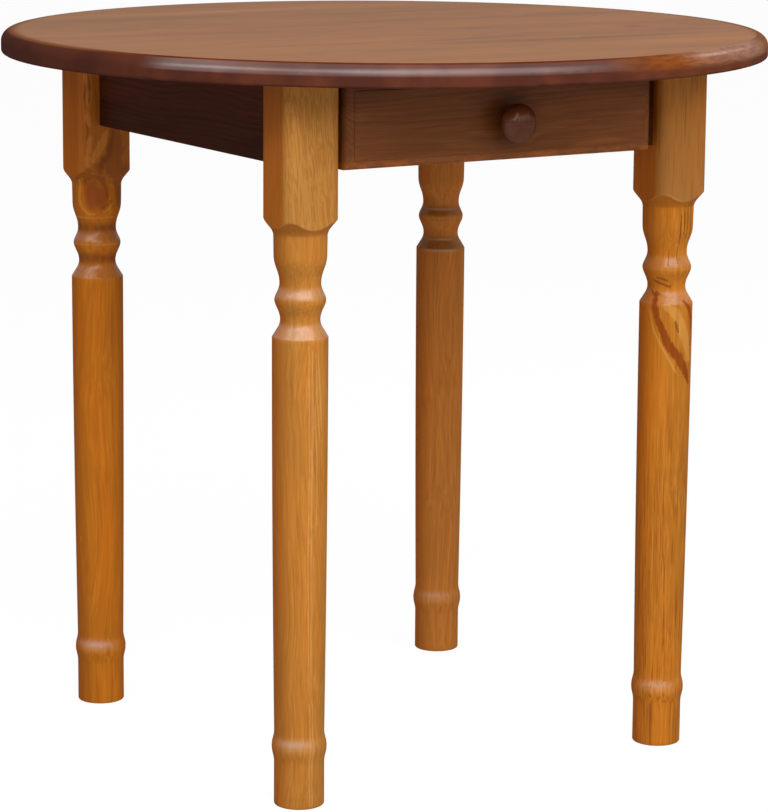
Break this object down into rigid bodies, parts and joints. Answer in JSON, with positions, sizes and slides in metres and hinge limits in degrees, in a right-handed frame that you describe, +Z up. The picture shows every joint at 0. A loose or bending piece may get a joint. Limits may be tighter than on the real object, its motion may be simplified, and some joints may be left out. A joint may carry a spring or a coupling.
{
  "type": "tavern table",
  "caption": "Small round varnished wooden table with turned legs and one shallow drawer with a round knob.",
  "frame": {"origin": "on the floor under the middle of the round top", "axes": "+Z up, the drawer faces -Y, +X to the right of someone facing the drawer"},
  "size_m": [0.8, 0.8, 0.75],
  "materials": {
    "top_wood": "satin brown stain and varnish",
    "leg_wood": "glossy amber varnish on turned pine",
    "apron_wood": "dark brown stain and varnish",
    "drawer_front_wood": "brown stain and varnish",
    "knob_wood": "brown stain, glossy varnish",
    "inner_wood": "plain planed softwood",
    "plywood": "plain thin plywood",
    "steel": "zinc-plated steel"
  },
  "bodies": {
    "table": {"top_board_1": "top_wood", "top_board_2": "top_wood", "top_board_3": "top_wood", "top_board_4": "top_wood", "top_board_5": "top_wood", "top_board_6": "top_wood", "leg_front_left": "leg_wood", "leg_front_right": "leg_wood", "leg_back_left": "leg_wood", "leg_back_right": "leg_wood", "apron_front": "apron_wood", "apron_back": "apron_wood", "apron_left": "apron_wood", "apron_right": "apron_wood", "top_buttons": "inner_wood", "top_button_screws": "steel", "top_front_screws": "steel", "drawer_runner_left": "inner_wood", "drawer_runner_right": "inner_wood", "drawer_guide_left": "inner_wood", "drawer_guide_right": "inner_wood", "drawer_guide_screws": "steel", "drawer_kicker_left": "inner_wood", "drawer_kicker_right": "inner_wood", "drawer_stop": "inner_wood", "drawer_stop_screws": "steel"},
    "drawer": {"drawer_front": "drawer_front_wood", "drawer_knob": "knob_wood", "drawer_box_front": "inner_wood", "drawer_side_left": "inner_wood", "drawer_side_right": "inner_wood", "drawer_back": "inner_wood", "drawer_bottom": "plywood", "drawer_front_screws": "steel", "drawer_knob_bolt": "steel", "drawer_box_nails": "steel", "drawer_stop_tab": "inner_wood", "drawer_tab_screws": "steel"}
  },
  "joints": [
    {"name": "drawer_slide", "type": "slide", "parent": "table", "child": "drawer", "axis": [0, -1, 0], "range_m": [0, 0.3]}
  ]
}
